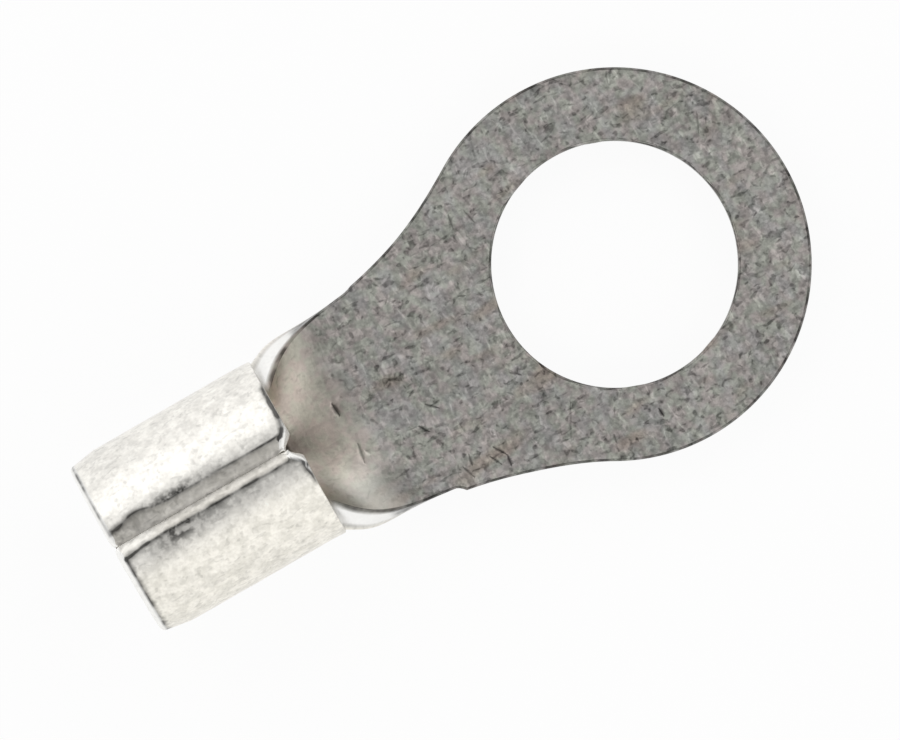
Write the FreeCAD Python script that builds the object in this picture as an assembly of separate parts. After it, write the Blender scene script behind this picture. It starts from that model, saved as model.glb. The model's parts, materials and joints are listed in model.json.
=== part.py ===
"""Uninsulated ring terminal, one piece of tinned copper sheet.

The blank is a ring with a tail. The tail narrows to a neck, curls up through a short throat and
is rolled into the wire barrel, where its two cut sides butt under a shallow V groove along the top.

Frame, in millimetres: the origin is the centre of the stud hole on the tongue's underside, +X runs
from the wire entry to the ring's tip and +Z is up along the stud. The tongue's underside and the
lowest line of the barrel both lie on Z = 0, so the terminal rests flat.
"""

import FreeCAD, Part
import math
import os

from FreeCAD import Vector

# Sheet
sheet_thickness = 0.8

# Ring and neck
stud_hole_diameter = 5.3
ring_diameter = 8.45
neck_radius = 9.5
neck_width = 5.0
hole_to_throat = 5.3

# Throat: the curl dies away from the barrel to the neck by a power law
throat_length = 2.56
throat_wrap = 143.5
curl_decay = 3.2
neck_shoulder = 0.08
root_corner_radius = 0.25

# Wire barrel
barrel_diameter = 4.2
barrel_length = 4.45
seam_gap = 0.05
seam_groove_width = 0.58
seam_groove_depth = 0.15
front_corner_radius = 0.26
mouth_corner_radius = 0.12

# Mouth of the barrel, where the wire goes in
mouth_taper_length = 0.65
mouth_taper_depth = 0.11
mouth_edge_radius = 0.12
entry_chamfer = 0.12

# Serrations: shallow V grooves pressed across the inside of the barrel, which grip the strands
serration_count = 4
serration_pitch = 0.8
serration_width = 0.3
serration_depth = 0.1

# Edges that the press has rounded: the ring's upper ones, and the barrel's outer ones
ring_edge_radius = 0.05
barrel_edge_radius = 0.12

# Sizes that follow from the ones above
stud_hole_radius = stud_hole_diameter / 2
ring_radius = ring_diameter / 2
barrel_radius = barrel_diameter / 2
bore_radius = barrel_radius - sheet_thickness
rolled_radius = barrel_radius - sheet_thickness / 2
throat_x = -hole_to_throat
barrel_x = throat_x - throat_length
mouth_x = barrel_x - barrel_length
root_half_width = rolled_radius * math.radians(throat_wrap / 2)
front_half_width = neck_width / 2 - neck_shoulder

# How finely the curled surfaces are laid out, and how near faces are to count as touching
stations_along = 16
points_across = 25
points_round_corner = 9
spare = sheet_thickness / 3
touching = sheet_thickness / 800
flat_enough = 1e-6


def opposite(point):
    """The same point on the other side of the terminal's middle plane."""
    return Vector(point.x, -point.y, point.z)


def smooth_curve(points):
    curve = Part.BSplineCurve()
    curve.interpolate(points)
    return curve.toShape()


def ring_and_neck():
    """Flat plate with the stud hole; the neck's hollow sides run tangent into the ring."""
    corner = Vector(throat_x, neck_width / 2, 0)
    reach = ring_radius + neck_radius
    along = (reach**2 - neck_radius**2 + corner.Length**2) / (2 * corner.Length)
    across = math.sqrt(reach**2 - along**2)
    towards = corner / corner.Length
    centre = towards * along + Vector(towards.y, -towards.x, 0) * across
    touch = centre * (ring_radius / reach)
    inward = (corner + touch) / 2 - centre
    hollow = centre + inward * (neck_radius / inward.Length)
    tip = Vector(ring_radius, 0, 0)
    outline = Part.Wire(
        [
            Part.makeLine(opposite(corner), corner),
            Part.Arc(corner, hollow, touch).toShape(),
            Part.Arc(touch, tip, opposite(touch)).toShape(),
            Part.Arc(opposite(touch), opposite(hollow), opposite(corner)).toShape(),
        ]
    )
    plate = Part.Face(outline).extrude(Vector(0, 0, sheet_thickness))
    plate = plate.cut(Part.makeCylinder(stud_hole_radius, sheet_thickness))
    rolled_edges = []
    for edge in plate.Edges:
        on_top = edge.BoundBox.ZMin > sheet_thickness / 2
        if on_top and edge.Curve.TypeId == "Part::GeomCircle":
            rolled_edges.append(edge)
    return plate.makeFillet(ring_edge_radius, rolled_edges)


def share_of_throat(x):
    return (x - barrel_x) / throat_length


def half_width(x):
    """Half the width of the flat blank at x, before the root corners are rounded."""
    return root_half_width + (front_half_width - root_half_width) * share_of_throat(x)


def curl(x):
    """Curvature of the sheet's mid-surface at x: the barrel's at its front edge, none at the neck."""
    return max(1 - share_of_throat(x), 0) ** curl_decay / rolled_radius


def sheet_point(x, across, height):
    """Where a point of the flat blank ends up: across from its middle line, height from its mid-plane."""
    curvature = curl(x)
    if curvature * sheet_thickness < flat_enough:
        return Vector(x, across, sheet_thickness / 2 + height)
    radius = 1 / curvature
    turn = across * curvature
    y = (radius - height) * math.sin(turn)
    z = sheet_thickness / 2 + radius - (radius - height) * math.cos(turn)
    return Vector(x, y, z)


def curled_section(x):
    """Section across the sheet at x, a little wider than the blank so that its sides can be cut."""
    reach = half_width(x) + root_corner_radius + spare / 2
    offsets = [reach * (2 * i / (points_across - 1) - 1) for i in range(points_across)]
    under = [sheet_point(x, a, -sheet_thickness / 2) for a in offsets]
    over = [sheet_point(x, a, sheet_thickness / 2) for a in offsets]
    return Part.Wire(
        [
            smooth_curve(under),
            Part.makeLine(under[-1], over[-1]),
            smooth_curve(over[::-1]),
            Part.makeLine(over[0], under[0]),
        ]
    )


def beyond_cut_side(path):
    """Solid outside one cut side of the blank; the cut stays square to the sheet as it curls."""
    low = smooth_curve([sheet_point(x, a, -sheet_thickness / 2 - spare) for x, a in path])
    high = smooth_curve([sheet_point(x, a, sheet_thickness / 2 + spare / 2) for x, a in path])
    outward = math.copysign(barrel_diameter, path[0][1])
    cut_side = Part.makeRuledSurface(low, high)
    level = cut_side.extrude(Vector(0, outward, 0))
    rising = cut_side.extrude(Vector(0, outward, barrel_diameter))
    return level.fuse(rising)


def throat():
    """Sheet that opens from the barrel's lower half to the flat neck, with its sides cut to width."""
    stations = [barrel_x + throat_length * i / stations_along for i in range(stations_along + 1)]
    curled = Part.makeLoft([curled_section(x) for x in stations], True, False)
    root_corner = []
    for i in range(points_round_corner):
        turn = math.pi / 2 * i / (points_round_corner - 1)
        x = barrel_x + root_corner_radius * (1 - math.cos(turn))
        root_corner.append((x, half_width(x) + root_corner_radius * (1 - math.sin(turn))))
    flank = []
    for i in range(stations_along + 1):
        x = barrel_x + root_corner_radius
        x = x + (throat_x - x) * i / stations_along
        flank.append((x, half_width(x)))
    waste = []
    for path in (root_corner, flank):
        waste.append(beyond_cut_side(path))
        waste.append(beyond_cut_side([(x, -a) for x, a in path]))
    return curled.cut(waste)


def on_tube(radius, y, upper=True):
    """Point of the barrel's mouth plane on a circle round the barrel's axis."""
    drop = math.sqrt(radius**2 - y**2)
    return Vector(mouth_x, y, barrel_radius + drop if upper else barrel_radius - drop)


def lies_on_outside(edge):
    for vertex in edge.Vertexes:
        radius = math.hypot(vertex.Y, vertex.Z - barrel_radius)
        if abs(radius - barrel_radius) > touching:
            return False
    return True


def corner_edges(tube, at_front):
    """The two edges where the sheet's long cut sides meet one end of the barrel."""
    found = []
    middle = (mouth_x + barrel_x) / 2
    for edge in tube.Edges:
        box = edge.BoundBox
        through_sheet = box.XLength < touching and box.ZLength > sheet_thickness / 2
        if through_sheet and edge.Curve.TypeId == "Part::GeomLine" and (box.XMin > middle) == at_front:
            found.append(edge)
    return found


def seam_groove():
    """Prism over the seam: where the press has bent the sheet's outer edges down, they make a V."""
    start_x = mouth_x - spare
    bottom = Vector(start_x, 0, barrel_diameter - seam_groove_depth)
    shoulder = on_tube(barrel_radius, seam_groove_width / 2)
    above = bottom + (Vector(start_x, shoulder.y, shoulder.z) - bottom) * 2
    profile = Part.makePolygon([bottom, above, opposite(above), bottom])
    return Part.Face(profile).extrude(Vector(barrel_length + spare * 2, 0, 0))


def rolled_tube():
    """Barrel with its seam: the sheet's two cut sides stand a hair apart from the bore outwards."""
    outer = on_tube(barrel_radius, seam_gap / 2)
    inner = on_tube(bore_radius, seam_gap / 2)
    profile = Part.Wire(
        [
            Part.Arc(outer, on_tube(barrel_radius, 0, upper=False), opposite(outer)).toShape(),
            Part.makeLine(opposite(outer), opposite(inner)),
            Part.Arc(opposite(inner), on_tube(bore_radius, 0, upper=False), inner).toShape(),
            Part.makeLine(inner, outer),
        ]
    )
    tube = Part.Face(profile).extrude(Vector(barrel_length, 0, 0))
    tube = tube.makeFillet(mouth_corner_radius, corner_edges(tube, at_front=False))
    tube = tube.makeFillet(front_corner_radius, corner_edges(tube, at_front=True))
    shoulder_edges = []
    for edge in tube.Edges:
        if lies_on_outside(edge) and edge.BoundBox.XMax > mouth_x + mouth_taper_length:
            shoulder_edges.append(edge)
    return tube.makeFillet(barrel_edge_radius, shoulder_edges).cut(seam_groove())


def root_collar():
    """Full-thickness sheet where the throat grows out of the barrel's rounded front edge."""
    depth = barrel_edge_radius * 2
    turn = (root_half_width + root_corner_radius) / rolled_radius
    bottom_out = Vector(barrel_x, 0, 0)
    bottom_in = Vector(barrel_x, 0, sheet_thickness)
    side_out = Vector(
        barrel_x, barrel_radius * math.sin(turn), barrel_radius - barrel_radius * math.cos(turn)
    )
    side_in = Vector(
        barrel_x, bore_radius * math.sin(turn), barrel_radius - bore_radius * math.cos(turn)
    )
    profile = Part.Wire(
        [
            Part.Arc(side_out, bottom_out, opposite(side_out)).toShape(),
            Part.makeLine(opposite(side_out), opposite(side_in)),
            Part.Arc(opposite(side_in), bottom_in, side_in).toShape(),
            Part.makeLine(side_in, side_out),
        ]
    )
    return Part.Face(profile).extrude(Vector(-depth, 0, 0))


def mouth_waste():
    """What the press takes off round the mouth: taper and rounded rim outside, chamfer inside."""
    taper_x = mouth_x + mouth_taper_length
    rim_x = mouth_x + mouth_edge_radius
    rim_radius = barrel_radius - mouth_taper_depth
    face_radius = rim_radius - mouth_edge_radius
    clear = barrel_radius + sheet_thickness
    halfway = mouth_edge_radius * (1 - math.sqrt(0.5))
    profile = Part.Wire(
        [
            Part.makeLine(Vector(taper_x, 0, barrel_radius), Vector(rim_x, 0, rim_radius)),
            Part.Arc(
                Vector(rim_x, 0, rim_radius),
                Vector(mouth_x + halfway, 0, rim_radius - halfway),
                Vector(mouth_x, 0, face_radius),
            ).toShape(),
            Part.makePolygon(
                [
                    Vector(mouth_x, 0, face_radius),
                    Vector(mouth_x - sheet_thickness, 0, face_radius),
                    Vector(mouth_x - sheet_thickness, 0, clear),
                    Vector(taper_x, 0, clear),
                    Vector(taper_x, 0, barrel_radius),
                ]
            ),
        ]
    )
    axis = Vector(1, 0, 0)
    outside = Part.Face(profile).revolve(Vector(0, 0, 0), axis, 360)
    wide = bore_radius + entry_chamfer
    chamfer = Part.makeCone(wide, bore_radius, entry_chamfer, Vector(mouth_x, 0, 0), axis)
    for solid in (outside, chamfer):
        solid.translate(Vector(0, 0, barrel_radius))
    return [outside, chamfer]


def serrations():
    """Rings of waste across the inside of the barrel, each a V in section."""
    middle_x = (mouth_x + barrel_x) / 2
    near, deepest = bore_radius - serration_depth, bore_radius + serration_depth
    rings = []
    for i in range(serration_count):
        x = middle_x + (i - (serration_count - 1) / 2) * serration_pitch
        start, end = Vector(x - serration_width, 0, near), Vector(x + serration_width, 0, near)
        profile = Part.Face(Part.makePolygon([start, Vector(x, 0, deepest), end, start]))
        ring = profile.revolve(Vector(0, 0, 0), Vector(1, 0, 0), 360)
        ring.translate(Vector(0, 0, barrel_radius))
        rings.append(ring)
    return rings


def ring_terminal():
    barrel = rolled_tube().cut(mouth_waste() + serrations())
    joined = ring_and_neck().fuse([throat(), root_collar(), barrel], touching)
    return joined.removeSplitter().Solids[0]


os.makedirs("parts", exist_ok=True)
ring_terminal().exportStep("parts/ring_terminal.step")
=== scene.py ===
"""Uninsulated ring terminal of tinned copper, lying on a white surface, seen from straight above.

The sheet is drawn as it was before it was rolled: a flat blank with its outline, its stud hole and
its pressed edges. The blank is then bent, point by point, into the throat and the wire barrel.
Lengths are in millimetres in the object's frame, and a vertex is written in metres.
"""

import json
import math

import bpy
import numpy as np
from mathutils import Matrix, Vector, kdtree, noise
from mathutils.geometry import delaunay_2d_cdt


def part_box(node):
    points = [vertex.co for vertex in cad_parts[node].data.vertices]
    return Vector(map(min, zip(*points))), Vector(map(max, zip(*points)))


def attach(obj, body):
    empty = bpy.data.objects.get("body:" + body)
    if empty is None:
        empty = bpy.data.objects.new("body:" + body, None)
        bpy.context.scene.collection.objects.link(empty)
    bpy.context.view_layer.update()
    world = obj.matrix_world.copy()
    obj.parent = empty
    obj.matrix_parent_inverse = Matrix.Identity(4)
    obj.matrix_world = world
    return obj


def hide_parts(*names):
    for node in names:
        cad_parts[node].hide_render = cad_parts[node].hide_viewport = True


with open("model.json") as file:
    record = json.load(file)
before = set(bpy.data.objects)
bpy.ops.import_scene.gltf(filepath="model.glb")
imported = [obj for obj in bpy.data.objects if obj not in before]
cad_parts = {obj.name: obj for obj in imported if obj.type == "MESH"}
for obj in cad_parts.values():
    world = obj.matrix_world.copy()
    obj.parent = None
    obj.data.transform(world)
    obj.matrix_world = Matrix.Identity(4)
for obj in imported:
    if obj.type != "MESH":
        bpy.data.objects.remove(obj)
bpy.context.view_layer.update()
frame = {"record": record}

MM = 0.001
NODE = "ring_terminal"

# Main sizes: the solid's box, and the bores and the face that it is mounted by
low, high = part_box(NODE)
mounts = {mount["name"]: mount for mount in frame["record"]["mounts"]}
ring_radius = high.x / MM
mouth_x = low.x / MM
hole_radius = mounts["stud_hole"]["dims"]["r_mm"]
bore_radius = mounts["wire_barrel"]["dims"]["r_mm"]
sheet = mounts["top_of_ring"]["pos_m"][2] / MM
barrel_radius = bore_radius + sheet
rolled_radius = bore_radius + sheet / 2

# Blank: neck, throat and barrel
neck_radius = 9.5
throat_x = -5.3
barrel_x = -7.83
throat_wrap = 143.5
curl_decay = 3.2
front_half_width = 2.42
root_corner = 0.25
front_notch = 0.25
mouth_corner = 0.14
root_half_width = rolled_radius * math.radians(throat_wrap / 2)
barrel_middle = (barrel_x + mouth_x) / 2

# The +Y and the -Y side differ: shoulder where the neck ends, width of the notch at the seam's front
shoulder_x = -5.16
shoulder_length = 0.22
sides = ((0.04, 0.42), (0.13, 0.32))

# The tail lies a little off the ring's axis, and the -Y wing reaches a little further forward
tail_drift = 0.06
drift_begins = (2.0, 4.0)
drift_ends = (6.8, 8.4)
wing_lead = 0.06
lead_length = 1.5
lead_power = 8
least_curvature = 1e-9
flat_below = 1e-5

# Seam: the cut sides butt under a shallow V a little off the middle, wider on the +Y wing
seam_gap = 0.004
seam_shift = 0.04
shift_power = 4
seam_half_width = rolled_radius * math.pi - seam_gap / 2
groove_depth = 0.12
groove_widths = (0.35, 0.23)
groove_waver = (0.02, 0.35, 31.0)
front_flare, front_flare_length = 0.28, 0.11
bulge, bulge_x, bulge_length = 0.12, -11.5, 0.35
mouth_flare, mouth_flare_length = 0.09, 1.0

# Pressed edges: reach of the rounding on the upper or inner side, and on the lower or outer side
ring_rounding = (0.05, 0.03)
front_rounding = (0.03, 0.1)
flank_rounding = (0.03, 0.04)
seam_rounding = (0.006, 0.006)
mouth_rounding = (0.11, 0.13)
seam_rounding_begins = (-0.02, 0.22)
front_rounding_begins = (0.75, 0.3)
mouth_taper_length = 0.65
mouth_taper_depth = 0.11

# Serrations across the barrel's inside
serration_count = 4
serration_pitch = 0.8
serration_width = 0.3
serration_depth = 0.1

# Unevenness of the inner and the outer surface: depth, wavelength and seed of each ripple
inner_ripples = ((0.0025, 0.9, 2.0), (0.001, 0.3, 5.0))
outer_ripples = ((0.006, 0.8, 8.0), (0.003, 0.33, 12.0))
ripple_limit = 0.01
forming_ends = ((-5.60, 2.2), (-5.74, 0.8))
forming_height = 0.006
forming_width = 0.05

# Shoulders beside the groove, which dip under the full circle, and painted shade over the dip: first what
# differs between the +Y and the -Y wing
dip_shade_reach = (0.3, 0.55)
dip_shade_strength = (0.42, 0.5)
dip_shade_patches = (-10.65, -10.95)
dip_length = 1.2
dip_shade_patch_length = 0.5
dip_depth = 0.006
dip_slope = 0.3
dip_ripple = (1, 0.2, 23.0)
dip_overlap = 0.02
dip_shade_fade_begins = 0.05

# Dark lines of painted shade on the barrel: first what differs between the +Y and the -Y wing
thin_line = 0.035
wide_line = 0.055
shoulder_line = (0.8, 1.05)
shoulder_line_widths = (thin_line, 1.25 * thin_line)
front_line = (1.6, 1.1)
front_line_widths = (wide_line, thin_line)
front_line_fades = (0.85, 0.3)
front_line_ends = (1.3, 0.6)
mouth_lines = (0.09, 0.14)
mouth_line = 0.9
mouth_line_margin = 0.03
front_line_inset = 0.04
wide_shoulder_until = -11.3
nick_line = 0.6
nick_ends = ((-12.08, seam_half_width - 0.02), (-12.0, seam_half_width - 0.1))

# Added strength of the shoulder's painted dark line, least tone of the groove's painted shade: value, start
# and end
shoulder_line_front = (0.3, -9.2, -8.4)
shoulder_line_mouth = (0.5, -12.0, -11.2)
groove_tone_clears = (0.2, -11.7, -10.9)
groove_tone_begins = (0.08, 0.14)

# Dark lines of painted shade along the edges of the flat sheet, and the painted highlight on the barrel's
# mouth and front roundings
upper_edge_line = 0.8
cut_edge_line = 0.75
cut_edge_begins = (-6.9, -6.6)
# Painted highlight on the barrel's mouth and front roundings, and how far behind the front it reaches
rounding_highlight = 0.9
highlight_depth = 0.02

# Fineness of the mesh
outline_step = 0.06
grid_step = 0.078
mark_step = 0.035
groove_step = 1.4 * mark_step
rounding_rows = 5
wall_rows = 3
root_corner_points = 8
notch_points = 14
flat_margin = 0.012
rim_margin = 0.6 * grid_step
front_rows_width = 1.2
groove_rows = (0.45, 0.75)
groove_rows_inset = 0.05
crest_guess = 0.3
crest_rounds = 4
merge_distance = 1e-7

# Marks on the upper side, in the blank's plane: start, end, half width, depth, darkness
scratches = [
    ((-0.72, -3.16), (-0.71, -3.33), 0.065, 0.02, 1.0),
    ((-1.83, -3.15), (-1.87, -3.32), 0.055, 0.015, 0.7),
    ((-2.28, -2.05), (-2.70, -2.81), 0.04, 0.006, 0.4),
    ((-2.24, 2.62), (-2.16, 2.27), 0.05, 0.012, 0.6),
    ((-2.57, 2.72), (-2.63, 2.38), 0.06, 0.014, 0.6),
    ((3.15, 1.96), (2.96, 1.54), 0.04, 0.008, 0.4),
    ((-6.75, 0.50), (-6.73, 0.19), 0.075, 0.018, 1.0),
    ((-5.37, -0.86), (-5.23, -1.09), 0.065, 0.016, 0.9),
    ((-5.02, -0.52), (-4.81, -0.73), 0.05, 0.014, 0.75),
    ((-5.08, -0.13), (-5.25, -0.21), 0.05, 0.012, 0.6),
    ((-5.43, 0.33), (-5.31, 0.27), 0.07, 0.014, 0.75),
    ((-3.82, 0.33), (-3.66, 0.34), 0.05, 0.012, 0.65),
    ((-4.74, -1.91), (-4.80, -2.18), 0.055, 0.014, 0.75),
    ((-4.22, -2.03), (-4.04, -2.32), 0.055, 0.016, 0.85),
    ((-4.03, -2.34), (-4.07, -2.60), 0.06, 0.016, 0.85),
    ((-4.37, -2.18), (-4.24, -2.45), 0.05, 0.014, 0.75),
    ((-4.99, -2.08), (-4.88, -2.40), 0.05, 0.014, 0.6),
    ((-6.69, -0.54), (-6.77, -1.02), 0.05, 0.01, 0.6),
    ((-3.12, -0.85), (-2.92, -1.03), 0.055, 0.012, 0.6),
    ((-4.62, 2.35), (-4.57, 2.31), 0.055, 0.014, 0.7),
    ((-6.45, 1.04), (-6.45, 1.01), 0.05, 0.012, 0.6),
]
# Dents that catch the light: place, half width, depth
glints = [
    ((1.90, 2.80), 0.07, 0.022),
    ((-0.73, 2.85), 0.05, 0.014),
    ((3.94, -0.30), 0.08, 0.024),
    ((3.90, 0.03), 0.06, 0.018),
    ((-4.54, 1.73), 0.07, 0.022),
]
glint_length = 0.02
mark_taper = 0.7
mark_falloff = 1.4
mark_reach = 0.2

# Small pits strewn over the ring and the neck
pit_count = 130
pit_seed = 11
pits_from_x = -6.6
pit_lengths = (0.01, 0.03, 0.07, 0.12)
pit_widths = (0.036, 0.055)
pit_darkness = (0.2, 0.6)
pit_steepness = 0.3
pit_margin = 0.15
pitted_neck = 2.2
pitted_throat = 1.3
pitted_throat_x = -7
pitted_slope = 0.5

# Colours of the tin: flat sheet, throat, barrel, groove and cut edges; a pair of tones is mottled; the flat
# sheet's dark matt tones are partly its matt finish and partly painted shade
matt_tones = ((0.495, 0.455, 0.435, 1), (0.465, 0.475, 0.425, 1))
matt_grey = (0.455, 0.455, 0.455, 1)
matt_brown = (0.42, 0.345, 0.29, 1)
warm_tones = ((0.635, 0.55, 0.48, 1), (0.605, 0.565, 0.475, 1))
pale_throat = (0.63, 0.62, 0.56, 1)
# The barrel's light tones are partly its burnished finish and partly painted highlight: a lit pair for the +Y
# wing and a pair with painted shade for the -Y wing
lit_tones = ((0.925, 0.905, 0.855, 1), (0.82, 0.80, 0.755, 1))
shaded_tones = ((0.92, 0.89, 0.815, 1), (0.79, 0.765, 0.695, 1))
# The groove's darker pair is painted shade
groove_shade_tones = ((0.88, 0.845, 0.78, 1), (0.74, 0.71, 0.645, 1))
flat_cut = (0.90, 0.89, 0.87, 1)
curled_cut = (0.95, 0.945, 0.925, 1)
white = (1, 1, 1, 1)

# Patterns in the tin: direction, scale, detail, roughness, distortion and the range they are cut to
EVEN, ALONG, ACROSS = (1.0, 1.0, 1.0), (1.0, 0.4, 1.0), (0.45, 1.0, 1.0)
patterns = {
    "fine": (EVEN, 12.0, 1.0, 0.5, 0.0, (0.34, 0.66)),
    "middle": (EVEN, 5.0, 2.0, 0.5, 0.7, (0.32, 0.68)),
    "broad": (EVEN, 0.9, 2.0, 0.5, 0.0, (0.35, 0.65)),
    "tint": (EVEN, 3.6, 1.0, 0.5, 0.0, (0.38, 0.62)),
    "cool": (ALONG, 2.6, 2.0, 0.5, 0.0, (0.42, 0.66)),
    "stain": (ACROSS, 1.5, 1.0, 0.5, 0.0, (0.55, 0.70)),
    "blotch": (EVEN, 3.4, 2.0, 0.6, 0.0, (0.38, 0.62)),
    "pits": (EVEN, 5.8, 1.0, 0.6, 0.3, (0.60, 0.70)),
    "dashes": (ACROSS, 7.0, 1.0, 0.5, 0.4, (0.61, 0.71)),
    # Light specks of painted glint on the tin
    "glint_flecks": (ALONG, 7.5, 1.0, 0.5, 0.4, (0.60, 0.71)),
    # Breaks the painted shade over the dipped shoulders into ragged patches
    "ragged": (EVEN, 4.5, 2.0, 0.6, 0.0, (0.4, 0.62, 0.1, 0.75)),
    "uneven": (EVEN, 2.4, 2.0, 0.5, 0.0, (0.36, 0.64, 0.45, 1.0)),
}
cool_share = 0.55
stain_share = 0.6
grain_shares = {"fine": 0.30, "middle": 0.22, "broad": 0.12}
grain_middle = 0.30
pit_shade = 0.42
fleck_shine = 0.34
grain_on_cut = 0.25

# Where the tin's look changes: start, end, and the values there unless they are 0 and 1
tongue_begins = (-6.9, -5.7)
rolled_ends = (-7.6, -5.6, 1.0, 0.0)
throat_ends = (-7.4, -5.9, 1.0, 0.0)
# Painted shade on the barrel's inside, seen through the notch at its front
inside_ends = (-8.06, -7.96, 1.0, 0.0)
glint_flecks_in_throat = (0.0, 1.0, 0.3, 1.0)
grain_in_throat = (0.0, 1.0, 0.33, 1.0)
warm_across = (-1.9, -0.6, 0.2, 0.9)
pale_across = (-1.9, -0.6, 0.7, 0.0)
# Painted shade across the barrel, on its -Y wing
shaded_across = (-1.0, -0.3, 1.0, 0.0)

# Painted light and shade in the throat's hollow, along and across the terminal, as above
glow_across = (0.3, 1.0, 0.3, 0.0)
shade_along = (-7.7, -7.05, 1.0, 0.0)
shade_below = (-0.8, -0.1, 0.42, 0.13)
shade_above = (0.6, 1.0, 0.1, 0.03)
pool_rises = (-7.1, -6.75)
pool_falls = (-6.4, -5.8, 0.3, 0.0)
pool_below = (-1.6, -1.2)
pool_above = (-0.4, 0.1, 1.0, 0.0)
outskirt_along = (-6.2, -5.9, 1.0, 0.0)
outskirt_below = (-1.7, -1.1, 0.28, 0.0)
outskirt_above = (1.2, 1.75, 0.0, 0.22)

# Strength of the marks' darkness and of the painted shades, the tin's roughness and its fine relief
mark_shade = 0.9
groove_shade = 0.25
groove_shade_mix = 0.8
inside_shade = 0.7
darkest_dip_shade = 0.8
darkest_line = 0.86
roughness = (0.34, 0.44)
tongue_roughness = 0.06
cut_roughness = 0.12
relief_depth = 0.0022
middle_relief = 1.4

# The photograph's frame: what its centre looks at, its scale and the terminal's turn
image_width = 900
image_height = 740
hole_px = (614.75, 264.2)
px_per_mm = 46.64
axis_turn = 29.85
camera_distance = 400
sensor_width = 36
clip_range = (10, 2000)

# White ground and the light tent, which dims between two heights, in degrees
ground_reach = 600
ground_drop = 0.01
ground_colour = (0.95, 0.95, 0.95, 1)
even_white = 0.92
tent_heights = (48, 76)
tent_top = 0.34
lamp_distance = 160


def smoothstep(value, start, end):
    share = np.clip((np.asarray(value, float) - start) / (end - start), 0, 1)
    return share * share * (3 - 2 * share)


def bell(value, reach, middle=0):
    return np.exp(-(((value - middle) / reach) ** 2))


def by_side(across, pair):
    """The value for the +Y or the -Y side at each point."""
    return np.where(across > 0, *pair)


# Outline of the blank

def share_of_throat(x):
    return (x - barrel_x) / (throat_x - barrel_x)


def half_width(x, shoulder):
    width = root_half_width + (front_half_width - root_half_width) * share_of_throat(x)
    return width + shoulder * np.clip(1 - (shoulder_x - x) / shoulder_length, 0, 1) ** 2


def arc(centre, radius, start, end):
    """Points on an arc, angles in degrees; the last one is left to the next piece."""
    count = max(4, round(abs(math.radians(end - start)) * radius / outline_step))
    turns = np.radians(start + (end - start) * np.arange(count) / count)
    return np.column_stack([centre[0] + radius * np.cos(turns), centre[1] + radius * np.sin(turns)])


def line(start, end):
    start, end = np.array(start, float), np.array(end, float)
    count = max(2, round(np.linalg.norm(end - start) / outline_step))
    return start + (end - start) * (np.arange(count) / count)[:, None]


def neck_arc_centre(corner):
    """Centre of the neck's hollow side, which runs from its corner tangent into the ring."""
    far = np.linalg.norm(corner)
    reach = ring_radius + neck_radius
    along = (reach**2 - neck_radius**2 + far**2) / (2 * far)
    across = math.sqrt(reach**2 - along**2)
    towards = corner / far
    return towards * along + np.array([towards[1], -towards[0]]) * across


def half_outline(shoulder, front_corner):
    """From the ring's tip round to the middle of the mouth, as on the +Y side."""
    corner = np.array([shoulder_x, half_width(shoulder_x, shoulder)])
    centre = neck_arc_centre(corner)
    ring_end = math.degrees(math.atan2(centre[1], centre[0]))
    neck_end = math.degrees(math.atan2(*(corner - centre)[::-1]))
    flank_x = np.arange(shoulder_x, barrel_x + root_corner, -outline_step)
    turns = np.radians(np.linspace(90, 0, root_corner_points, endpoint=False))
    root_x = barrel_x + root_corner * (1 - np.cos(turns))
    root_top = root_half_width + root_corner
    front_top = seam_half_width - front_corner
    mouth_top = seam_half_width - mouth_corner
    bend = np.linspace(0, 1, notch_points, endpoint=False)
    return np.vstack([
        arc((0, 0), ring_radius, 0, ring_end),
        arc(centre, neck_radius, ring_end - 180, neck_end),
        np.column_stack([flank_x, half_width(flank_x, shoulder)]),
        np.column_stack([root_x, half_width(root_x, 0) + root_corner * (1 - np.sin(turns))]),
        line((barrel_x, root_top), (barrel_x, front_top)),
        np.column_stack([barrel_x - front_notch * smoothstep(bend, 0, 1), front_top + front_corner * bend]),
        line((barrel_x - front_notch, seam_half_width), (mouth_x + mouth_corner, seam_half_width)),
        arc((mouth_x + mouth_corner, mouth_top), mouth_corner, 90, 180),
        line((mouth_x, mouth_top), (mouth_x, 0)),
    ])


def whole_outline():
    upper, lower = (half_outline(*side) for side in sides)
    return np.vstack([upper, [[mouth_x, 0.0]], lower[1:][::-1] * [1, -1]])


def hole_outline():
    count = round(2 * math.pi * hole_radius / outline_step)
    turns = -2 * math.pi * np.arange(count) / count
    return hole_radius * np.column_stack([np.cos(turns), np.sin(turns)])


def outward(loop):
    """Unit normals out of the metal, for a loop with the metal on its left."""
    along = np.roll(loop, -1, axis=0) - np.roll(loop, 1, axis=0)
    normal = np.column_stack([along[:, 1], -along[:, 0]])
    return normal / np.linalg.norm(normal, axis=1)[:, None]


# From the flat blank to the finished terminal

def curl(x):
    """Curvature of the mid-surface: the barrel's behind its front edge, dying away to the neck."""
    return np.clip(1 - share_of_throat(np.maximum(x, barrel_x)), 0, 1) ** curl_decay / rolled_radius


def place(x, across, height):
    """Points of the finished terminal; height is from the mid-plane, positive on the inner side."""
    curvature = np.maximum(curl(x), least_curvature)
    edge_share = np.abs(across) / seam_half_width
    turn = (across - seam_shift * edge_share**shift_power) * curvature
    curled_y = (1 / curvature - height) * np.sin(turn)
    curled_z = sheet / 2 + 1 / curvature - (1 / curvature - height) * np.cos(turn)
    flat = curvature * sheet < flat_below
    drift = tail_drift * smoothstep(-x, *drift_begins) * (1 - smoothstep(-x, *drift_ends))
    near_front = smoothstep(x, barrel_x - lead_length, barrel_x)
    lead = wing_lead * (across < 0) * edge_share**lead_power * near_front
    y = np.where(flat, across, curled_y) - drift
    z = np.where(flat, sheet / 2 + height, curled_z)
    return np.column_stack([x + lead, y, z]) * MM


# Marks and unevenness of the two surfaces

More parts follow.
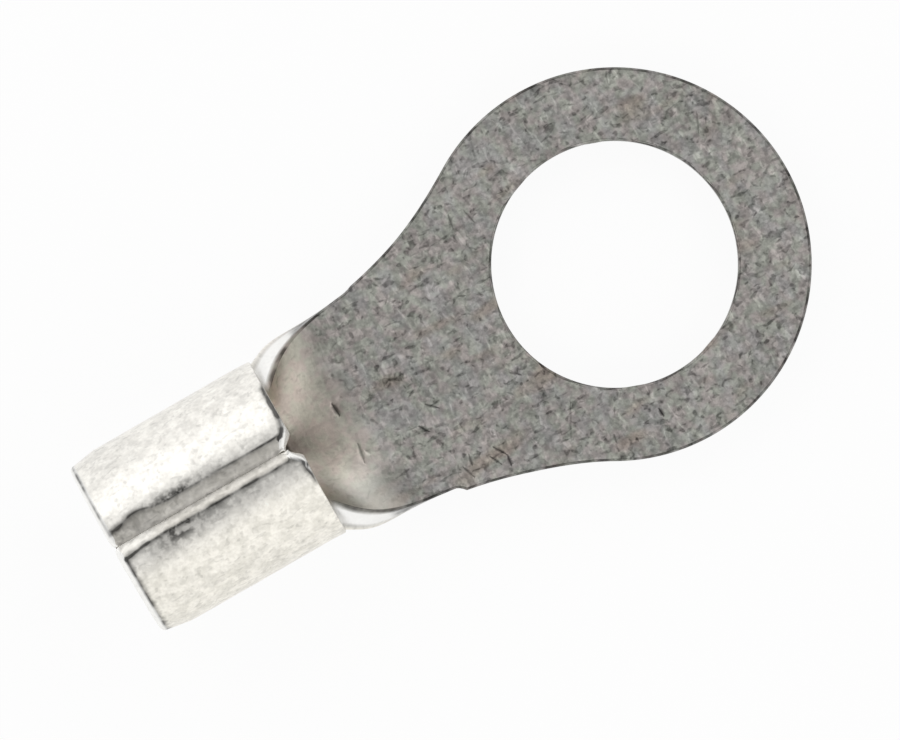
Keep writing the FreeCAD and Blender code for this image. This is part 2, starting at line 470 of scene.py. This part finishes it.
def pitted_half_width(x):
    """Half width of the pitted field on the neck, which narrows into the throat."""
    return min(pitted_neck, pitted_throat + pitted_slope * (x - pitted_throat_x))


def all_marks():
    """Named scratches and glints, and small pits strewn over the tongue."""
    marks = [(np.array(a), np.array(b), w, d, k) for a, b, w, d, k in scratches]
    marks += [(np.array(p), np.array(p) + [glint_length, 0], w, d, 0.0) for p, w, d in glints]
    random = np.random.default_rng(pit_seed)
    while len(marks) < len(scratches) + len(glints) + pit_count:
        spot = np.array([random.uniform(pits_from_x, ring_radius), random.uniform(-ring_radius, ring_radius)])
        turn, length = random.uniform(0, math.pi), random.choice(pit_lengths)
        width, dark = random.uniform(*pit_widths), random.uniform(*pit_darkness)
        on_ring = hole_radius + pit_margin < math.hypot(*spot) < ring_radius - pit_margin
        on_neck = spot[0] < -hole_radius and abs(spot[1]) < pitted_half_width(spot[0])
        if on_ring or on_neck:
            end = spot + length * np.array([math.cos(turn), math.sin(turn)])
            marks.append((spot, end, width, width * pit_steepness, dark))
    return marks


def share_along(points, start, end):
    along = end - start
    return np.clip((points - start) @ along / (along @ along), 0, 1)


def distance_to(points, start, end):
    share = share_along(points, start, end)
    return np.linalg.norm(points - start - share[:, None] * (end - start), axis=1)


def mark_points(mark):
    """Rows of points over a mark, so that the mesh can follow it."""
    start, end, width = mark[:3]
    length = np.linalg.norm(end - start)
    along = (end - start) / length
    side = np.array([-along[1], along[0]])
    steps = np.arange(-width, length + width, mark_step)
    rows = [start + along * s + side * o for s in steps for o in (-width, -width / 2, 0, width / 2, width)]
    return np.array(rows)


def press_marks(points, marks):
    """Depth and darkness of the marks at each point."""
    depth, dark = np.zeros(len(points)), np.zeros(len(points))
    for start, end, width, deep, black in marks:
        length = np.linalg.norm(end - start)
        away = np.linalg.norm(points - (start + end) / 2, axis=1)
        near = np.flatnonzero(away < length + mark_reach)
        if len(near):
            slim = mark_taper * min(1, length / (4 * width))
            reach = width * (1 - slim * (2 * share_along(points[near], start, end) - 1) ** 2)
            fall = np.clip(1 - (distance_to(points[near], start, end) / reach) ** 2, 0, 1)
            depth[near] = np.maximum(depth[near], deep * fall)
            dark[near] = np.maximum(dark[near], black * fall**mark_falloff)
    return depth, dark


def ripple(points, wavelength, seed):
    """Smooth noise between -1 and 1 over the blank."""
    return np.array([noise.noise(Vector((x / wavelength, a / wavelength, seed))) for x, a in points])


def unevenness(points, ripples):
    return sum(depth * ripple(points, wavelength, seed) for depth, wavelength, seed in ripples)


def forming_line(points):
    """Faint ridge across the front of the throat where the bending tool ended."""
    return forming_height * bell(distance_to(points, *np.array(forming_ends)), forming_width)


def serrations(x):
    """Depth of the V grooves across the barrel's inside."""
    depth = 0
    for i in range(serration_count):
        middle = barrel_middle + (i - (serration_count - 1) / 2) * serration_pitch
        depth = depth + serration_depth * np.clip(1 - np.abs(x - middle) / (serration_width / 2), 0, 1)
    return depth


def heights(points, marks):
    """Heights of the inner and the outer surface over the blank, and the marks' darkness."""
    x = points[:, 0]
    depth, dark = press_marks(points, marks)
    inner = sheet / 2 - depth + unevenness(points, inner_ripples) + forming_line(points) - serrations(x)
    rolled = 1 - smoothstep(x, barrel_x, throat_x)
    taper = mouth_taper_depth * np.clip(1 - (x - mouth_x) / mouth_taper_length, 0, 1)
    outer = -sheet / 2 + taper + sunk_beside_seam(points) + rolled * unevenness(points, outer_ripples)
    return inner, np.maximum(outer, -sheet / 2 - ripple_limit), dark


def from_groove(points):
    """Distance from the groove's shoulder, round the barrel, and the width of the groove there."""
    x, across = points[:, 0], points[:, 1]
    from_seam = (seam_half_width - np.abs(across)) * barrel_radius / rolled_radius
    by_front = front_flare * np.exp(-(barrel_x - x) / front_flare_length)
    by_bulge = bulge * bell(x, bulge_length, bulge_x) * (across > 0)
    by_mouth = mouth_flare * (1 - smoothstep(x, mouth_x, mouth_x + mouth_flare_length)) * (across < 0)
    width = by_side(across, groove_widths) + np.minimum(by_front, front_flare) + by_bulge + by_mouth
    width = width + unevenness(points, [groove_waver])
    return from_seam - width, width


def sunk_beside_seam(points):
    """How far the V and the dipped shoulders beside it lie under the full circle."""
    past, width = from_groove(points)
    swell = bell(points[:, 0], dip_length, barrel_middle)
    dip_and_shade = dip_depth * swell * np.clip(1 - past / dip_slope, 0, 1) * (1 + unevenness(points, [dip_ripple]))
    return groove_depth * np.clip(-past / width, 0, 1) + np.where(past > -dip_overlap, dip_and_shade, 0)


def behind_front(points):
    """Distance from the barrel's front edge, notch included."""
    x, across = points.T
    corner = by_side(across, (sides[0][1], sides[1][1]))
    share = np.clip((np.abs(across) - seam_half_width + corner) / corner, 0, 1)
    slope = front_notch / corner * 6 * share * (1 - share)
    return (barrel_x - front_notch * smoothstep(share, 0, 1) - x) / np.sqrt(1 + slope**2)


def near_seam(points):
    begins, full = front_rounding_begins
    return smoothstep(np.abs(points[:, 1]), seam_half_width - begins, seam_half_width - full)


def dark_lines(points, past, behind, past_mouth):
    """Painted shade: dark lines along the groove's shoulders and the rounded front and mouth of the barrel.
    """
    x, across = points.T
    front_share, front_from, front_full = shoulder_line_front
    mouth_share, mouth_full, mouth_until = shoulder_line_mouth
    strength = by_side(across, shoulder_line) + front_share * smoothstep(x, front_from, front_full)
    strength = strength + mouth_share * (1 - smoothstep(x, mouth_full, mouth_until))
    widths = by_side(across, shoulder_line_widths)
    widths = np.where((across > 0) & (x < wide_shoulder_until), wide_line, widths)
    fades, ends = by_side(across, front_line_fades), by_side(across, front_line_ends)
    by_front = by_side(across, front_line) * (1 - smoothstep(past, fades, ends))
    past_front = behind - np.maximum(front_rounding[1] * near_seam(points), front_line_inset)
    lines = [
        (past, strength, widths),
        (past_front, by_front, by_side(across, front_line_widths)),
        (past_mouth, mouth_line, thin_line),
    ]
    levels = [share * bell(away, width) * (past > -2 * width) for away, share, width in lines]
    levels.append(nick_line * bell(distance_to(points, *np.array(nick_ends)), thin_line))
    return np.max(levels, axis=0)


def barrel_shades(points):
    """Painted shade on the barrel's outside: dark lines, shade over the dipped shoulders beside the groove,
    and shade in the groove itself.
    """
    x, across = points.T
    past = from_groove(points)[0]
    behind = behind_front(points)
    past_mouth = x - mouth_x - by_side(across, mouth_lines)
    on_barrel = (behind > 0) & (past_mouth > -mouth_line_margin)
    # Painted shade over the dipped shoulders, strongest mid-barrel and in one patch on each wing
    swell = by_side(across, dip_shade_strength) * bell(x, dip_length, barrel_middle)
    patch = bell(x, dip_shade_patch_length, by_side(across, dip_shade_patches))
    fade = 1 - smoothstep(past, dip_shade_fade_begins, by_side(across, dip_shade_reach))
    dip_and_shade = (swell + patch) * fade * (past > 0)
    # Painted shade in the groove, less of it near the mouth on the -Y wing
    groove = smoothstep(-past, 0, thin_line) * smoothstep(behind, *groove_tone_begins)
    least, clear, full = groove_tone_clears
    groove = groove * np.where(across > 0, 1, least + (1 - least) * smoothstep(x, clear, full))
    lines = dark_lines(points, past, behind, past_mouth)
    return np.where(on_barrel, lines, 0), np.where(on_barrel, dip_and_shade, 0), groove


# Mesh

def near_top(loop):
    """Share of the barrel's own rounding: none on the throat and low down, all beside the seam."""
    wing = 1 - smoothstep(loop[:, 0], barrel_x, barrel_x + root_corner)
    return wing * near_seam(loop)


def roundings(loop):
    """Reach of the rounding at each point of the blank's outline, on the inner and the outer side."""
    x, across = loop.T
    wing = 1 - smoothstep(x, barrel_x, barrel_x + root_corner)
    seam = smoothstep(barrel_x - front_notch - x, *seam_rounding_begins)
    seam = seam * (np.abs(across) > seam_half_width - mouth_corner)
    mouth = 1 - smoothstep(x, mouth_x, mouth_x + mouth_corner)
    reach = np.tile(ring_rounding, (len(loop), 1))
    shares = (
        (flank_rounding, wing),
        (front_rounding, near_top(loop)),
        (seam_rounding, seam),
        (mouth_rounding, mouth),
    )
    for other, share in shares:
        reach = reach + (np.array(other) - reach) * share[:, None]
    return reach


def edge_rows(inner, outer, reach):
    """Rows of the edge band from the inner side to the outer: distance past the cut, height and kind."""
    inner_reach, outer_reach = reach.T
    upper, lower = inner - inner_reach, outer + outer_reach
    turns = np.radians(np.linspace(0, 90, rounding_rows))
    rows = [(inner_reach * (math.sin(t) - 1), upper + inner_reach * math.cos(t), "inner") for t in turns]
    for i in range(1, wall_rows + 1):
        rows.append((0 * upper, upper + (lower - upper) * i / (wall_rows + 1), "cut"))
    for t in turns[::-1]:
        rows.append((outer_reach * (math.sin(t) - 1), lower - outer_reach * math.cos(t), "outer"))
    return rows


def groove_points():
    """Rows of points along the groove's shoulders, its bottom and the barrel's two ends."""
    rows = []
    x = np.arange(mouth_x + groove_rows_inset, barrel_x - groove_rows_inset, groove_step)
    shrink = rolled_radius / barrel_radius
    for side in (1, -1):
        crest = np.full(len(x), side * (seam_half_width - crest_guess))
        for _ in range(crest_rounds):
            crest = crest + side * from_groove(np.column_stack([x, crest]))[0] * shrink
        width = from_groove(np.column_stack([x, crest]))[1]
        offsets = [0 * x - thin_line, 0 * x, 0 * x + thin_line]
        offsets += [width * shrink * share for share in groove_rows]
        rows += [np.column_stack([x, crest + side * offset]) for offset in offsets]
    across = np.arange(-seam_half_width, seam_half_width, groove_step)
    rows.append(np.column_stack([np.full(len(across), mouth_x + mouth_rounding[1] + thin_line), across]))
    front = np.column_stack([np.full(len(across), barrel_x), across])
    front = front[np.abs(across) > seam_half_width - front_rows_width]
    for depth in (wide_line, 2 * wide_line):
        inset = behind_front(front) - front_rounding[1] * near_seam(front) - depth
        rows.append(np.column_stack([front[:, 0] + inset, front[:, 1]]))
    return np.vstack(rows)


def grid_points():
    """Even triangular grid over the blank."""
    row_step = grid_step * math.sqrt(0.75)
    points = []
    for j, a in enumerate(np.arange(-seam_half_width, seam_half_width, row_step)):
        shift = grid_step / 2 * (j % 2)
        xs = np.arange(mouth_x + shift, ring_radius, grid_step)
        points.append(np.column_stack([xs, np.full(len(xs), a)]))
    return np.vstack(points)


def near_any(points, others, reach):
    tree = kdtree.KDTree(len(others))
    for i, (x, a) in enumerate(others):
        tree.insert((x, a, 0), i)
    tree.balance()
    return np.array([tree.find((x, a, 0))[2] < reach for x, a in points])


def inside(points, loop):
    """Even-odd test of points against a closed loop."""
    result = np.zeros(len(points), bool)
    start, end = loop, np.roll(loop, -1, axis=0)
    for (x1, a1), (x2, a2) in zip(start, end):
        if a1 != a2:
            crosses = (points[:, 1] >= min(a1, a2)) & (points[:, 1] < max(a1, a2))
            at = x1 + (points[:, 1] - a1) * (x2 - x1) / (a2 - a1)
            result ^= crosses & (points[:, 0] < at)
    return result


def turns_left(corners):
    (x1, a1), (x2, a2), (x3, a3) = corners
    return (x2 - x1) * (a3 - a1) > (x3 - x1) * (a2 - a1)


def triangulate(loops, marks):
    """Triangles over the blank between its inset outlines, with every mark's own points in them."""
    outer, hole = loops
    extra = np.vstack([mark_points(mark) for mark in marks] + [groove_points()])
    grid = grid_points()
    grid = grid[~near_any(grid, extra, mark_step)]
    free = np.vstack([grid, extra])
    free = free[inside(free, outer) & ~inside(free, hole)]
    free = free[~near_any(free, np.vstack(loops), rim_margin)]
    points = np.vstack([outer, hole, free])
    n, m = len(outer), len(hole)
    edges = [(i, (i + 1) % n) for i in range(n)] + [(n + i, n + (i + 1) % m) for i in range(m)]
    spots = [Vector(p) for p in points]
    verts, _, faces, origin, _, _ = delaunay_2d_cdt(spots, edges, [], 1, merge_distance)
    verts = np.array(verts)
    order = np.full(len(points), -1)
    for new, olds in enumerate(origin):
        for old in olds:
            order[old] = new
    faces = [f for f in faces if np.hypot(*verts[list(f)].mean(axis=0)) > hole_radius]
    return verts, order[: n + m], [f if turns_left(verts[list(f)]) else f[::-1] for f in faces]


def surface_shades(flat, dark):
    """Shade values of the inner and of the outer surface."""
    none, full = np.zeros(len(flat)), np.ones(len(flat))
    lines, dip_and_shade, groove = barrel_shades(flat)
    return {
        "mark": [dark, none],
        "rim": [none, lines],
        "dip_and_shade": [none, dip_and_shade],
        "groove": [none, groove],
        "cut": [none, none],
        "outer": [none, full],
    }


def band_shades(loop, at, kind):
    """Shade values of one row of the edge band, apart from those that are 0."""
    # Painted shade: dark lines along the flat sheet's upper rounding and along its cut walls
    if kind == "inner":
        return {"rim": upper_edge_line * smoothstep(loop[:, 0], barrel_x, barrel_x + root_corner)}
    if kind == "cut":
        return {"cut": 1.0, "rim": cut_edge_line * smoothstep(loop[:, 0], *cut_edge_begins)}
    lines, dip_and_shade, groove = barrel_shades(at)
    # Painted highlight: the mouth rounding and the front rounding beside the seam take the bright colour of
    # the cut walls
    on_front = near_top(loop) * (behind_front(loop) < highlight_depth)
    highlighted = np.maximum(loop[:, 0] < mouth_x + mouth_corner, on_front)
    groove = groove * (1 - highlighted)
    return {"rim": lines, "dip_and_shade": dip_and_shade, "groove": groove, "cut": rounding_highlight * highlighted, "outer": 1.0}


def band_faces(rows):
    """Four-sided faces from each row of a closed band to the next."""
    faces = []
    for upper, lower in zip(rows, rows[1:]):
        corners = np.column_stack([upper, lower, np.roll(lower, -1), np.roll(upper, -1)])
        faces += [tuple(face) for face in corners.tolist()]
    return faces


def put(name, data):
    item = bpy.data.objects.new(name, data)
    bpy.context.scene.collection.objects.link(item)
    return item


def build_terminal():
    """The sheet as one mesh: inner surface, outer surface and a rounded band round each cut."""
    outlines = [whole_outline(), hole_outline()]
    normals = [outward(loop) for loop in outlines]
    reaches = [roundings(outlines[0]), np.tile(ring_rounding, (len(outlines[1]), 1))]
    insets = [reach.max(axis=1) + flat_margin for reach in reaches]
    loops = [loop - normal * inset[:, None] for loop, normal, inset in zip(outlines, normals, insets)]
    marks = all_marks()
    flat, rim_order, triangles = triangulate(loops, marks)
    inner, outer, dark = heights(flat, marks)
    count = len(flat)
    points = [place(flat[:, 0], flat[:, 1], inner), place(flat[:, 0], flat[:, 1], outer)]
    shades = surface_shades(flat, dark)
    faces = [tuple(f) for f in triangles] + [tuple(i + count for i in reversed(f)) for f in triangles]
    used, first = 2 * count, 0
    for loop, normal, reach in zip(outlines, normals, reaches):
        size = len(loop)
        top_row = rim_order[first : first + size]
        rows = [top_row]
        for offset, level, kind in edge_rows(inner[top_row], outer[top_row], reach):
            at = loop + normal * offset[:, None]
            points.append(place(at[:, 0], at[:, 1], level))
            values = band_shades(loop, at, kind)
            for name, parts in shades.items():
                parts.append(np.broadcast_to(values.get(name, 0.0), size))
            rows.append(np.arange(used, used + size))
            used += size
        faces += band_faces(rows + [top_row + count])
        first += size
    mesh = bpy.data.meshes.new("terminal_sheet")
    mesh.from_pydata(np.vstack(points).tolist(), [], faces)
    mesh.validate()
    for name, parts in shades.items():
        layer = mesh.attributes.new(name, "FLOAT", "POINT")
        layer.data.foreach_set("value", np.concatenate(parts).astype(np.float32))
    mesh.shade_smooth()
    mesh.update()
    return put("terminal_sheet", mesh)


# Materials

class Nodes:
    """Short way to write the node tree of a material or a world."""

    def __init__(self, owner):
        owner.use_nodes = True
        self.tree = owner.node_tree
        self.tree.nodes.clear()

    def add(self, kind, inputs=(), **settings):
        node = self.tree.nodes.new(kind)
        for key, value in settings.items():
            setattr(node, key, value)
        for key, value in dict(inputs).items():
            if isinstance(value, bpy.types.NodeSocket):
                self.tree.links.new(value, node.inputs[key])
            else:
                node.inputs[key].default_value = value
        return node

    def math(self, operation, first, *others):
        for other in others:
            first = self.add("ShaderNodeMath", {0: first, 1: other}, operation=operation).outputs[0]
        return first

    def plus(self, *values):
        return self.math("ADD", *values)

    def minus(self, *values):
        return self.math("SUBTRACT", *values)

    def times(self, *values):
        return self.math("MULTIPLY", *values)

    def larger(self, *values):
        return self.math("MAXIMUM", *values)

    def smaller(self, *values):
        return self.math("MINIMUM", *values)

    def ramp(self, value, low_in, high_in, low_out=0.0, high_out=1.0, kind="SMOOTHSTEP"):
        ends = {"From Min": low_in, "From Max": high_in, "To Min": low_out, "To Max": high_out}
        return self.add("ShaderNodeMapRange", {"Value": value, **ends}, interpolation_type=kind).outputs[0]

    def mix(self, share, a, b, blend="MIX"):
        sockets = {0: share, 6: a, 7: b}
        return self.add("ShaderNodeMix", sockets, data_type="RGBA", blend_type=blend).outputs[2]

    def pattern(self, spot, stretch, scale, detail, roughness, distortion, cut):
        if stretch != EVEN:
            spot = self.add("ShaderNodeVectorMath", {0: spot, 1: stretch}, operation="MULTIPLY").outputs[0]
        sockets = {"Vector": spot, "Scale": scale, "Detail": detail, "Roughness": roughness}
        cloud = self.add("ShaderNodeTexNoise", {**sockets, "Distortion": distortion})
        return self.ramp(cloud.outputs["Fac"], *cut)

    def attribute(self, name):
        return self.add("ShaderNodeAttribute", attribute_name=name).outputs["Fac"]


def tin_material():
    """Tin plate: grained and matt on the flat sheet, bright and mottled outside the rolled barrel, with
    painted light and shade in its colour.
    """
    material = bpy.data.materials.new("tinned_copper_sheet")
    s = Nodes(material)
    spot = s.add("ShaderNodeTexCoord").outputs["Object"]
    spot = s.add("ShaderNodeVectorMath", {0: spot, "Scale": 1 / MM}, operation="SCALE").outputs[0]
    split = s.add("ShaderNodeSeparateXYZ", {0: spot}).outputs
    x, y = split["X"], split["Y"]
    names = ("mark", "rim", "dip_and_shade", "groove", "cut", "outer")
    mark, rim, dip_and_shade, groove, cut, outer = (s.attribute(name) for name in names)
    tongue = s.ramp(x, *tongue_begins)
    rolled = s.times(outer, s.ramp(x, *rolled_ends))
    throat = s.ramp(x, *throat_ends)
    inner = s.minus(1.0, s.larger(outer, cut))
    # Painted shade on the barrel's inside, behind its front edge
    inside_barrel = s.times(s.ramp(x, *inside_ends), inner)
    clouds = {name: s.pattern(spot, *values) for name, values in patterns.items()}

    # The flat sheet's dark matt tones: partly its matt finish and partly painted shade
    matt = s.mix(clouds["tint"], *matt_tones)
    matt = s.mix(s.times(clouds["cool"], cool_share), matt, matt_grey)
    matt = s.mix(s.times(clouds["stain"], stain_share), matt, matt_brown)
    warm = s.mix(clouds["tint"], *warm_tones)
    matt = s.mix(s.times(throat, s.ramp(y, *warm_across)), matt, warm)
    matt = s.mix(s.times(throat, s.ramp(y, *pale_across)), matt, pale_throat)
    barrel_tones = (lit_tones, shaded_tones, groove_shade_tones)
    bright, shaded, grooved = (s.mix(clouds["blotch"], *tones) for tones in barrel_tones)
    # Painted shade: the -Y wing takes the shaded pair, the +Y wing keeps the lit pair
    bright = s.mix(s.ramp(y, *shaded_across), bright, shaded)
    # Painted shade in the groove
    bright = s.mix(s.times(groove, groove_shade_mix), bright, grooved)
    colour = s.mix(rolled, matt, bright)
    # Cut walls take their sheared colour; the barrel's mouth and front roundings take it as painted highlight
    colour = s.mix(cut, colour, s.mix(throat, flat_cut, curled_cut))

    grain = s.plus(*(s.times(clouds[name], share) for name, share in grain_shares.items()))
    grain = s.minus(grain, grain_middle)
    grain = s.minus(grain, s.times(s.larger(clouds["pits"], clouds["dashes"]), pit_shade))
    # Painted glints: light specks over the flat sheet, fewer in the throat
    glint_flecks = s.times(clouds["glint_flecks"], s.ramp(tongue, *glint_flecks_in_throat))
    grain = s.plus(grain, s.times(glint_flecks, fleck_shine))
    depth = s.minus(s.ramp(tongue, *grain_in_throat), s.times(cut, grain_on_cut))
    level = s.plus(1.0, s.times(grain, depth))

    # Painted light in the throat's hollow: a glow that fades towards the +Y side, and a pool of light on the
    # -Y side
    glow = s.times(throat, s.ramp(y, *glow_across), inner)
    pool = s.times(s.ramp(x, *pool_rises), s.ramp(x, *pool_falls))
    pool = s.times(pool, s.times(s.ramp(y, *pool_below), s.ramp(y, *pool_above)), inner)
    level = s.plus(level, glow, pool)
    # Painted shade in the throat's hollow: near the barrel's front, and at the throat's sides
    shade = s.plus(s.ramp(y, *shade_below), s.ramp(y, *shade_above))
    outskirt = s.plus(s.ramp(y, *outskirt_below), s.ramp(y, *outskirt_above))
    # Darkening of the tone: the marks' own darkness, then painted shade in dark lines along edges and
    # shoulders, over the dipped shoulders, in the throat's hollow, in the groove and on the barrel's inside
    shades = (
        s.times(mark, mark_shade),
        s.smaller(s.times(rim, clouds["uneven"]), darkest_line),
        s.smaller(s.times(dip_and_shade, clouds["ragged"]), darkest_dip_shade),
        s.times(s.ramp(x, *shade_along), shade, inner),
        s.times(s.ramp(x, *outskirt_along), outskirt, inner),
        s.times(groove, groove_shade),
        s.times(inside_barrel, inside_shade),
    )
    level = s.times(level, *(s.minus(1.0, part) for part in shades))
    grey = s.add("ShaderNodeCombineColor", {0: level, 1: level, 2: level}).outputs[0]
    colour = s.mix(1.0, colour, grey, "MULTIPLY")

    rough = s.ramp(clouds["middle"], 0.0, 1.0, *roughness, kind="LINEAR")
    rough = s.plus(rough, s.times(tongue, tongue_roughness), s.times(cut, cut_roughness))
    relief = s.times(s.plus(clouds["fine"], s.times(clouds["middle"], middle_relief)), depth)
    bump = s.add("ShaderNodeBump", {"Strength": 1.0, "Distance": relief_depth * MM, "Height": relief})
    look = {"Base Color": colour, "Metallic": 1.0, "Roughness": rough, "Normal": bump.outputs[0]}
    metal = s.add("ShaderNodeBsdfPrincipled", look)
    s.add("ShaderNodeOutputMaterial", {"Surface": metal.outputs[0]})
    return material


def ground_material():
    """White ground: mostly an even white to the eye and in reflections, with a share that takes shadow."""
    material = bpy.data.materials.new("white_ground")
    s = Nodes(material)
    path = s.add("ShaderNodeLightPath").outputs
    direct = s.larger(path["Is Glossy Ray"], path["Is Transmission Ray"], path["Is Camera Ray"])
    matt = s.add("ShaderNodeBsdfDiffuse", {"Color": ground_colour}).outputs[0]
    even = s.add("ShaderNodeEmission", {"Color": white, "Strength": 1.0}).outputs[0]
    both = s.add("ShaderNodeMixShader", {0: s.times(direct, even_white), 1: matt, 2: even})
    s.add("ShaderNodeOutputMaterial", {"Surface": both.outputs[0]})
    return material


# Stage

def make_ground():
    reach, drop = ground_reach * MM, -ground_drop * MM
    mesh = bpy.data.meshes.new("ground")
    corners = [(-reach, -reach, drop), (reach, -reach, drop), (reach, reach, drop), (-reach, reach, drop)]
    mesh.from_pydata(corners, [], [(0, 1, 2, 3)])
    mesh.materials.append(ground_material())
    put("ground", mesh)


def make_world():
    """Soft white tent round the object, dimmer straight above, where the camera looks in."""
    world = bpy.data.worlds.new("tent")
    s = Nodes(world)
    where = s.add("ShaderNodeTexCoord").outputs["Generated"]
    up = s.add("ShaderNodeSeparateXYZ", {0: where}).outputs["Z"]
    start, end = (math.sin(math.radians(height)) for height in tent_heights)
    level = s.ramp(up, start, end, 1.0, tent_top)
    light = s.add("ShaderNodeBackground", {"Color": white, "Strength": level})
    s.add("ShaderNodeOutputWorld", {"Surface": light.outputs[0]})
    bpy.context.scene.world = world


def soft_lamp(name, direction, size, radiance):
    """Square lamp that faces the object; radiance is its brightness as seen in a mirror."""
    side = size * MM
    data = bpy.data.lights.new(name, "AREA")
    data.shape = "SQUARE"
    data.size = side
    data.energy = radiance * math.pi * side * side
    towards = Vector(direction).normalized()
    lamp = put(name, data)
    lamp.location = towards * lamp_distance * MM
    lamp.rotation_mode = "QUATERNION"
    lamp.rotation_quaternion = towards.to_track_quat("Z", "Y")


def make_camera():
    turn = math.radians(axis_turn)
    right = Vector((math.cos(turn), -math.sin(turn), 0))
    up = Vector((math.sin(turn), math.cos(turn), 0))
    centre = right * (image_width / 2 - hole_px[0]) + up * (hole_px[1] - image_height / 2)
    centre = centre * (MM / px_per_mm)
    data = bpy.data.cameras.new("camera")
    data.sensor_width = sensor_width
    data.lens = sensor_width * camera_distance * px_per_mm / image_width
    data.clip_start, data.clip_end = (distance * MM for distance in clip_range)
    turned = Matrix((right, up, Vector((0, 0, 1)))).transposed().to_4x4()
    lift = Vector((0, 0, (sheet + camera_distance) * MM))
    camera = put("camera", data)
    camera.matrix_world = Matrix.Translation(centre + lift) @ turned
    bpy.context.scene.camera = camera


terminal = build_terminal()
terminal.data.materials.append(tin_material())
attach(terminal, "root")
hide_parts(NODE)

make_ground()
make_world()
soft_lamp("lamp_upper_left", direction=(-0.25, 0.82, 0.62), size=110, radiance=0.5)
soft_lamp("lamp_lower_right", direction=(0.15, -0.85, 0.55), size=80, radiance=0.15)
make_camera()

bpy.context.scene.view_settings.view_transform = "Standard"
